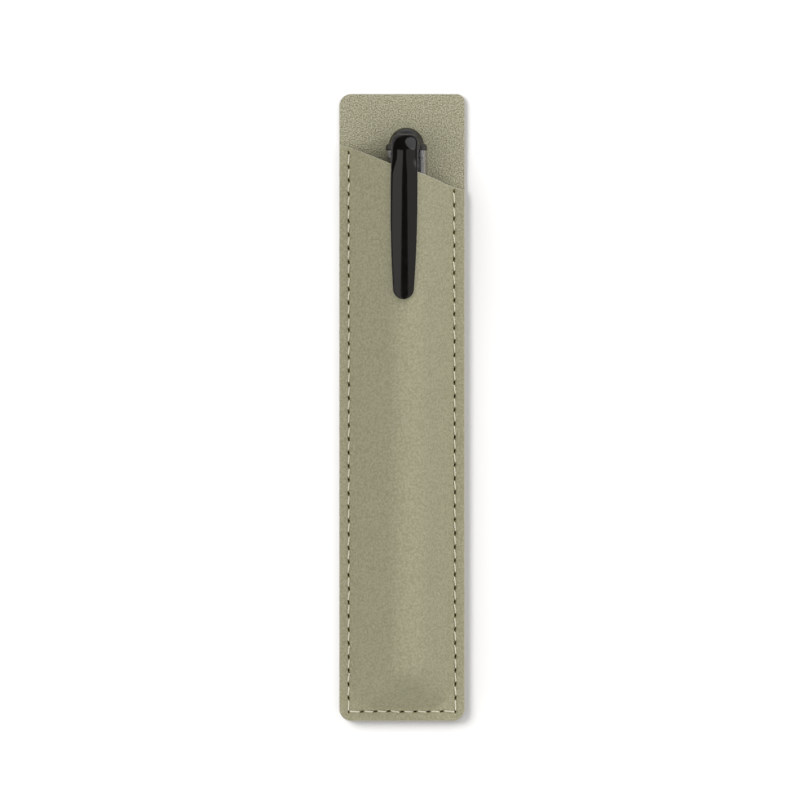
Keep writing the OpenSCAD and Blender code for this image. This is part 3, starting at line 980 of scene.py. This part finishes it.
def leather():
    """Soft synthetic leather in a grey sage green, finely grained, with pale cut edges, painted
    shade in the grain's creases and a tint painted into the shade of its needle holes.
    """
    m = Shader("leather_sage", Roughness=0.6, Specular_IOR_Level=0.3)
    patches = m.between(m.noise(9, 2), 0.35, 0.65, 0, 1)
    base = m.mix(patches, srgb(170, 167.5, 141), srgb(168, 167, 139))
    grain = m.cells(0.56)
    fine = m.noise(0.34, 3, 0.6)
    # The darker crease colour is partly the grain's own two-tone and partly painted shade in the
    # valleys of its relief. The lighter fine flecks are partly a painted highlight on its tops.
    creases = m.between(grain, 0.15, 0.7, 0, 1)
    toned = m.mix(m.between(fine, 0.42, 0.62, 0, 0.56), base, srgb(193, 189, 162))
    toned = m.mix(m.math("MULTIPLY", creases, 0.56), toned, srgb(138, 135, 109))
    cut = m.mix(m.mark("cut"), toned, srgb(199, 196, 177))
    # Painted shade tint: inside the needle holes the colour turns lighter and yellower, to give
    # their shade an olive tone.
    pitted = m.mix(m.mark("pit"), cut, srgb(206, 198, 142))
    m.to("Base Color", pitted)
    m.to("Roughness", m.between(fine, 0.3, 0.7, 0.54, 0.68))
    relief = m.math("ADD", m.math("MULTIPLY", creases, -0.8), m.math("MULTIPLY", fine, 0.5))
    m.to("Normal", m.bump(relief, 0.09, m.bump(m.noise(2.2, 3), 0.05)))
    return m.material


def lining():
    """The lining cloth: the same green in a coarser, napped grain, with a tint painted into the
    shade of its needle holes.
    """
    m = Shader("lining_napped", Roughness=0.85, Specular_IOR_Level=0.15,
               Sheen_Weight=0.15, Sheen_Roughness=0.5)
    patches = m.between(m.noise(6, 2), 0.35, 0.65, 0, 1)
    base = m.mix(patches, srgb(171, 168, 143), srgb(169, 167.5, 141))
    nap = m.noise(0.33, 3, 0.65)
    toned = m.mix(m.between(nap, 0.38, 0.5, 0.9, 0), base, srgb(117, 113, 89))
    toned = m.mix(m.between(nap, 0.5, 0.64, 0, 0.9), toned, srgb(207, 204, 182))
    cut = m.mix(m.mark("cut"), toned, srgb(205, 202, 188))
    # Painted shade tint inside the needle holes, as on the leather.
    m.to("Base Color", m.mix(m.mark("pit"), cut, srgb(196, 186, 112)))
    m.to("Normal", m.bump(nap, 0.09, m.bump(m.noise(2.0, 2), 0.05)))
    return m.material


def thread_cord():
    """Cream polyester thread."""
    m = Shader("thread_cream", Roughness=0.5, Sheen_Weight=0.2)
    fibre = m.noise(0.12, 2, 0.6)
    share = m.between(fibre, 0.35, 0.65, 0, 1)
    m.to("Base Color", m.mix(share, srgb(222, 219, 196), srgb(236, 234, 215)))
    m.to("Normal", m.bump(fibre, 0.02))
    return m.material


def black_plastic():
    """Glossy black moulded plastic, with the faint waviness and handling haze of a used cap."""
    m = Shader("black_plastic_gloss", Specular_IOR_Level=0.34)
    haze = m.noise(3.5, 4, 0.6)
    m.to("Base Color", m.mix(m.between(haze, 0.4, 0.7, 0, 1), srgb(10, 8, 6), srgb(15, 12, 10)))
    m.to("Roughness", m.between(haze, 0.35, 0.7, 0.07, 0.15))
    m.to("Normal", m.bump(m.noise(1.6, 1), 0.0012))
    return m.material


def clear_plastic():
    """Clear polystyrene, slightly cool, with a grey tint that paints shade onto what shows through
    it.
    """
    m = Shader("clear_plastic", Transmission_Weight=1.0, IOR=1.5)
    haze = m.noise(2.5, 4, 0.6)
    # Painted shade: the grey tint, darker than clear polystyrene, darkens the leather and lining
    # seen through the cap and barrel.
    m.to("Base Color", m.mix(haze, (0.63, 0.62, 0.69, 1), (0.71, 0.70, 0.76, 1)))
    m.to("Roughness", m.between(haze, 0.4, 0.7, 0.02, 0.07))
    return m.material


def refill_plastic():
    """Milky polypropylene of the refill and the nib's holder."""
    m = Shader("refill_plastic", Transmission_Weight=0.94, IOR=1.49)
    cloud = m.noise(1.5, 3)
    m.to("Base Color", m.mix(cloud, (0.82, 0.84, 0.85, 1), (0.88, 0.89, 0.90, 1)))
    m.to("Roughness", m.between(cloud, 0.3, 0.7, 0.08, 0.14))
    return m.material


def rubber():
    """Matt black rubber."""
    m = Shader("soft_rubber", Specular_IOR_Level=0.3)
    grit = m.noise(0.18, 3, 0.6)
    m.to("Base Color", m.mix(m.noise(4, 2), srgb(30, 30, 31), srgb(42, 41, 42)))
    m.to("Roughness", m.between(grit, 0.3, 0.7, 0.55, 0.75))
    m.to("Normal", m.bump(grit, 0.012))
    return m.material


def steel():
    """Turned stainless steel."""
    m = Shader("turned_steel", Metallic=1.0)
    rings = m.noise(0.05, 2, 0.5, m.stretched((0.02, 1, 0.02)))
    m.to("Base Color", m.mix(rings, srgb(186, 186, 190), srgb(206, 206, 208)))
    m.to("Roughness", m.between(rings, 0.3, 0.7, 0.16, 0.3))
    m.to("Normal", m.bump(rings, 0.0015))
    return m.material


def ink():
    """Black gel ink."""
    m = Shader("gel_ink_black")
    cloud = m.noise(2, 2)
    m.to("Base Color", m.mix(cloud, srgb(6, 6, 9), srgb(10, 10, 14)))
    m.to("Roughness", m.between(cloud, 0.3, 0.7, 0.08, 0.14))
    return m.material


def grease():
    """The pale grease plug that follows the ink."""
    m = Shader("grease_pale", Transmission_Weight=0.4)
    cloud = m.noise(1.2, 3)
    m.to("Base Color", m.mix(cloud, srgb(224, 214, 176), srgb(236, 228, 196)))
    m.to("Roughness", m.between(cloud, 0.3, 0.7, 0.25, 0.4))
    return m.material


def wear(obj, material):
    """Gives a piece its material."""
    obj.data.materials.clear()
    obj.data.materials.append(material)
    return obj


# The sleeve

leather_look, lining_look, thread_look = leather(), lining(), thread_cord()

pieces = [
    (front_panel(), "front_panel", leather_look, "leather"),
    (front_lining(), "front_lining", lining_look, "lining"),
    (back_lining(), "back_lining", lining_look, "lining"),
    (back_panel(), "back_panel", leather_look, "leather"),
    (thread("needle_stitches", seam_z, 1, THREAD_RISE, mouth_pull),
     "needle_thread", thread_look, "thread"),
    (thread("bobbin_stitches", GROOVE_DEPTH, -1, BOBBIN_RISE),
     "bobbin_thread", thread_look, "thread"),
]
for piece, node, look, slot in pieces:
    wear(piece, look)
    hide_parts(node)
    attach(piece, "sleeve")

# The pen

plug = wear(cap_plug(), black_plastic())
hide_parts("clip_plug")
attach(plug, "cap")

NODE_LOOKS = {
    "clear_plastic": (clear_plastic(), ["cap_tube", "barrel"]),
    "refill_plastic": (refill_plastic(), ["refill_tube", "nib_holder"]),
    "soft_rubber": (rubber(), ["grip", "tip_seal"]),
    "black_plastic": (black_plastic(), ["nose_cone", "end_plug"]),
    "steel": (steel(), ["nib", "ball"]),
    "ink": (ink(), ["gel_ink"]),
    "grease": (grease(), ["grease_plug"]),
}
for slot, (look, nodes) in NODE_LOOKS.items():
    for node in nodes:
        wear(frame["nodes"][node], look)


# Stage, light and camera

def looked_at(tree):
    """1 where the camera looks, also by gloss or glass, and 0 for light that only bounces."""
    rays = tree.nodes.new("ShaderNodeLightPath").outputs
    seen = rays["Is Camera Ray"]
    for kind in ("Is Glossy Ray", "Is Transmission Ray"):
        both = tree.nodes.new("ShaderNodeMath")
        both.operation, both.use_clamp = "ADD", True
        tree.links.new(seen, both.inputs[0])
        tree.links.new(rays[kind], both.inputs[1])
        seen = both.outputs[0]
    return seen


# Half the floor's size in metres, and its colour for light that only bounces, for gloss and glass,
# and for the camera
FLOOR_HALF = 0.5
FLOOR_BOUNCE = (0.2, 0.2, 0.2, 1)
FLOOR_GLOSS = (0.54, 0.54, 0.543, 1)
FLOOR_CAMERA = (0.62, 0.62, 0.623, 1)


def floor():
    """A plain pale floor, white to the camera."""
    size = FLOOR_HALF
    data = bpy.data.meshes.new("studio_floor")
    corners = [(-size, -size, 0), (size, -size, 0), (size, size, 0), (-size, size, 0)]
    data.from_pydata(corners, [], [(0, 1, 2, 3)])
    made = bpy.data.objects.new("studio_floor", data)
    bpy.context.scene.collection.objects.link(made)
    m = Shader("studio_floor", Roughness=0.9, Specular_IOR_Level=0.0)
    white = m.mix(looked_at(m.tree), FLOOR_BOUNCE, FLOOR_GLOSS)
    from_camera = m.node("ShaderNodeLightPath").outputs["Is Camera Ray"]
    m.to("Base Color", m.mix(from_camera, white, FLOOR_CAMERA))
    data.materials.append(m.material)
    return made


# The world's strength: for light that only bounces, and to the eye low down and higher up, with
# the height at which the white walls end, as a share of 1
BOUNCE, WALL, SKY = 0.2, 1, 0.08
WALL_TOP = 0.03


def world():
    """A dim studio, whose far walls are white where the camera sees them over the floor."""
    made = bpy.data.worlds.new("studio")
    bpy.context.scene.world = made
    made.use_nodes = True
    tree = made.node_tree
    back = tree.nodes["Background"]
    way = tree.nodes.new("ShaderNodeSeparateXYZ")
    tree.links.new(tree.nodes.new("ShaderNodeTexCoord").outputs["Generated"], way.inputs[0])
    walls = tree.nodes.new("ShaderNodeMapRange")
    level = tree.nodes.new("ShaderNodeMapRange")
    for node, ends in ((walls, (0, WALL_TOP, WALL, SKY)), (level, (0, 1, BOUNCE, WALL))):
        for socket, value in zip(node.inputs[1:5], ends):
            socket.default_value = value
    tree.links.new(way.outputs["Z"], walls.inputs[0])
    tree.links.new(looked_at(tree), level.inputs[0])
    tree.links.new(walls.outputs[0], level.inputs[4])
    tree.links.new(level.outputs[0], back.inputs["Strength"])
    back.inputs["Color"].default_value = (1, 1, 1, 1)


LONG_LAMP_COLOUR = (1, 0.975, 0.94)


def area_lamp(name, shape, size, place, turn, radiance, mirrored):
    """An area lamp, which the camera doesn't see."""
    data = bpy.data.lights.new(name, "AREA")
    data.shape = shape
    data.size, data.size_y = size
    filled = math.pi / 4 if shape == "ELLIPSE" else 1
    data.energy = radiance * math.pi * filled * data.size * data.size_y
    made = bpy.data.objects.new(name, data)
    made.location, made.rotation_euler = place, turn
    made.visible_camera = False
    made.visible_glossy = mirrored
    bpy.context.scene.collection.objects.link(made)
    return data


def softbox(name, place, size, radiance, mirrored=True):
    """An oval softbox at a place in metres, that faces the object."""
    turn = Vector(place).to_track_quat("Z", "Y").to_euler()
    area_lamp(name, "ELLIPSE", size, place, turn, radiance, mirrored)


def lamp_over(name, from_angle, to_angle, low_y, high_y, radiance, mirrored=True):
    """A long lamp along the sleeve, between two angles from straight up, counted to the right."""
    middle = math.radians((from_angle + to_angle) / 2)
    half = math.radians((to_angle - from_angle) / 2)
    size = 2 * math.tan(half), high_y - low_y
    place = (math.sin(middle), (low_y + high_y) / 2, math.cos(middle))
    data = area_lamp(name, "RECTANGLE", size, place, (0, middle, 0), radiance, mirrored)
    data.color = LONG_LAMP_COLOUR


# The sun's power, how wide it is in degrees, and where it stands
SUN_POWER, SUN_WIDTH = 4.4, 44
SUN_WAY = (-1.0, 0.7, 0.97)


def floor_sun(ground):
    """Sunlight on the floor alone, for the object's soft shadow to its right and below it."""
    data = bpy.data.lights.new("floor_sun", "SUN")
    data.energy = SUN_POWER
    data.angle = math.radians(SUN_WIDTH)
    made = bpy.data.objects.new("floor_sun", data)
    made.rotation_euler = Vector(SUN_WAY).to_track_quat("Z", "Y").to_euler()
    bpy.context.scene.collection.objects.link(made)
    only = bpy.data.collections.new("floor_only")
    only.objects.link(ground)
    made.light_linking.receiver_collection = only


# The picture's side in pixels, millimetres a pixel, the point in its middle, and the lens
PICTURE = 800
PIXEL = 0.2552
VIEW_X, VIEW_Y = -0.51, 1.876
LENS, SENSOR = 400, 36


def camera():
    """The photograph's view: straight down, from far off."""
    data = bpy.data.cameras.new("camera")
    data.lens, data.sensor_width = LENS, SENSOR
    made = bpy.data.objects.new("camera", data)
    height = PICTURE * PIXEL * LENS / SENSOR + seam_z
    made.location = Vector((VIEW_X, VIEW_Y, height)) * MM
    bpy.context.scene.collection.objects.link(made)
    bpy.context.scene.camera = made


ground = floor()
world()
floor_sun(ground)

# Lamps: angles or place, size in metres, and radiance, where 1 shows as white
lamp_over("left_lamp", -53, -14.5, -1.22, 0.4, 1.3)
lamp_over("right_lamp", 5.5, 70, -1.22, 0.5, 0.8)
lamp_over("left_fill", -85, -59, -1.0, 1.0, 1.12, mirrored=False)
lamp_over("right_fill", 60, 85, -1.0, 1.0, 0.3, mirrored=False)
softbox("key_lamp", (0.46, 0.7, 0.45), (1.12, 0.8), 2.02)
softbox("front_fill", (0.45, -0.8, 0.4), (0.6, 0.6), 1.0, mirrored=False)
camera()

scene = bpy.context.scene
scene.view_settings.view_transform = "Standard"
